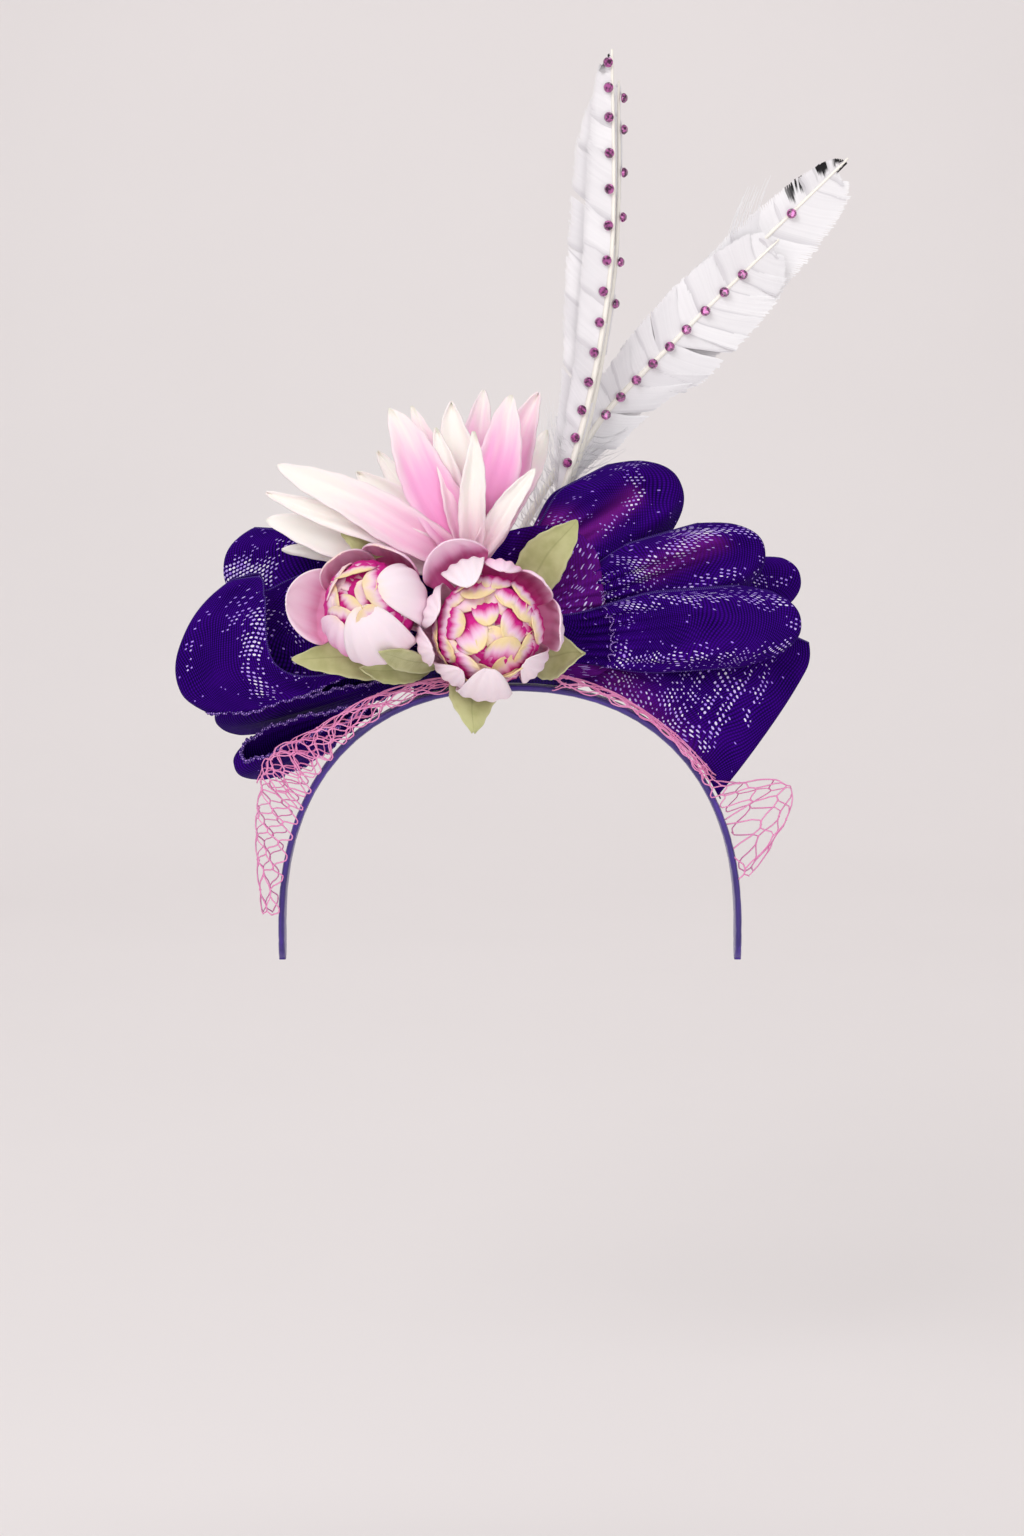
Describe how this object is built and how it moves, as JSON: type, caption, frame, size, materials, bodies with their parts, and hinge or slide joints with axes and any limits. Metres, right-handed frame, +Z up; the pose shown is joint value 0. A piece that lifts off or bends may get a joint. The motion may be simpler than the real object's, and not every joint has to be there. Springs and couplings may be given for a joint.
{
  "type": "fascinator on a headband",
  "caption": "Racing fascinator on a headband: looped crin bows, silk lily and peonies, leaves, jewelled goose feathers and gathered veiling.",
  "frame": {"origin": "the crown of the head that wears it, in the middle of the headband's inner face", "axes": "+Z up, -Y the way the wearer faces, +X the wearer's left and the right of the picture"},
  "size_m": [0.2373, 0.1001, 0.3171],
  "materials": {
    "satin": "satin covered",
    "crin": "glossy open weave",
    "petal": "matt silk",
    "leaf": "matt cloth",
    "feather": "soft sheen",
    "stone": "polished facets",
    "veiling": "matt thread"
  },
  "bodies": {
    "root": {"headband": "satin", "base_pad": "satin", "loop_right_top": "crin", "loop_right_upper": "crin", "loop_right_middle": "crin", "loop_right_back": "crin", "loop_right_lower": "crin", "loop_left_top": "crin", "loop_left_main": "crin", "loop_left_lower": "crin", "loop_left_foot": "crin", "lily": "petal", "peony_open": "petal", "peony_half_open": "petal", "leaf_far_left": "leaf", "leaf_under_left": "leaf", "leaf_between": "leaf", "leaf_bottom": "leaf", "leaf_right": "leaf", "leaf_top_right": "leaf", "leaf_top_left": "leaf", "feather_upright_front": "feather", "feather_upright_back": "feather", "feather_leaning_front": "feather", "feather_leaning_back": "feather", "stone_upright_01": "stone", "stone_upright_02": "stone", "stone_upright_03": "stone", "stone_upright_04": "stone", "stone_upright_05": "stone", "stone_upright_06": "stone", "stone_upright_07": "stone", "stone_upright_08": "stone", "stone_upright_09": "stone", "stone_upright_10": "stone", "stone_upright_11": "stone", "stone_upright_12": "stone", "stone_upright_13": "stone", "stone_upright_14": "stone", "stone_behind_01": "stone", "stone_behind_02": "stone", "stone_behind_03": "stone", "stone_behind_04": "stone", "stone_behind_05": "stone", "stone_behind_06": "stone", "stone_leaning_01": "stone", "stone_leaning_02": "stone", "stone_leaning_03": "stone", "stone_leaning_04": "stone", "stone_leaning_05": "stone", "stone_leaning_06": "stone", "stone_leaning_07": "stone", "stone_leaning_08": "stone", "stone_leaning_09": "stone", "stone_tip_01": "stone", "net_left": "veiling", "net_right": "veiling"}
  },
  "joints": []
}
